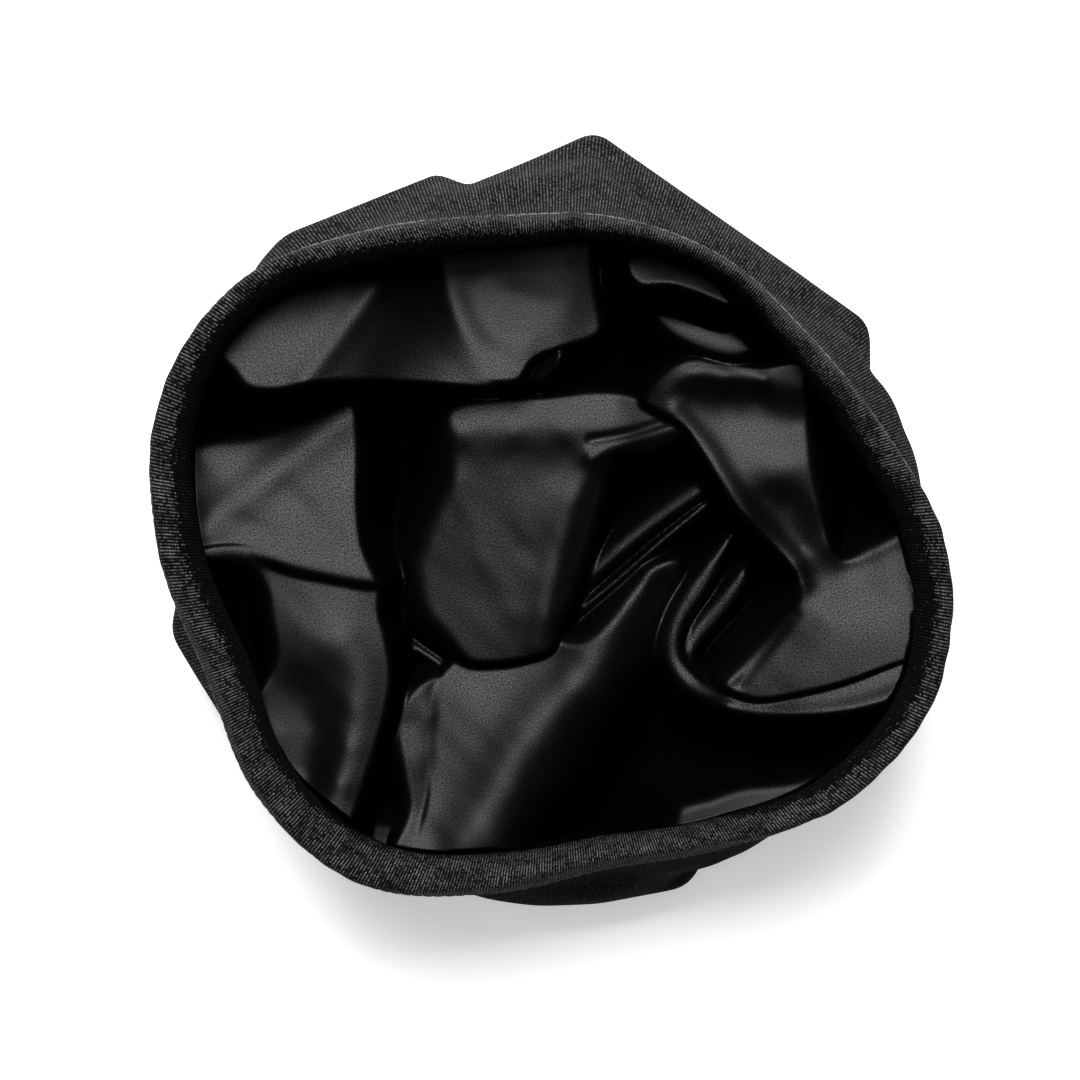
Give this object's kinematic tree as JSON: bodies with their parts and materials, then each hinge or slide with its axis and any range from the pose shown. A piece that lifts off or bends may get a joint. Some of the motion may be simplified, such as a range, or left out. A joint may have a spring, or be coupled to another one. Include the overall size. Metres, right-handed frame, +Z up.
{
  "type": "satin-lined knitted beanie",
  "caption": "Soft knitted beanie lying mouth up: slumped jersey shell, folded hem around the head opening, and a satin lining in loose folds inside.",
  "frame": {"origin": "on the surface it rests on, under the middle of the mouth, at the centre of the flattened crown", "axes": "+Z up through the mouth; the mouth's high side, where the crown slumps out, is towards +Y; +X to the right in the picture"},
  "size_m": [0.1935, 0.1946, 0.0913],
  "materials": {
    "jersey": "fine matte black jersey knit",
    "hem_jersey": "fine matte black jersey knit, folded and top-stitched",
    "satin": "smooth black satin"
  },
  "bodies": {
    "root": {"outer_shell": "jersey", "rim_band": "hem_jersey", "satin_lining": "satin"}
  },
  "joints": []
}
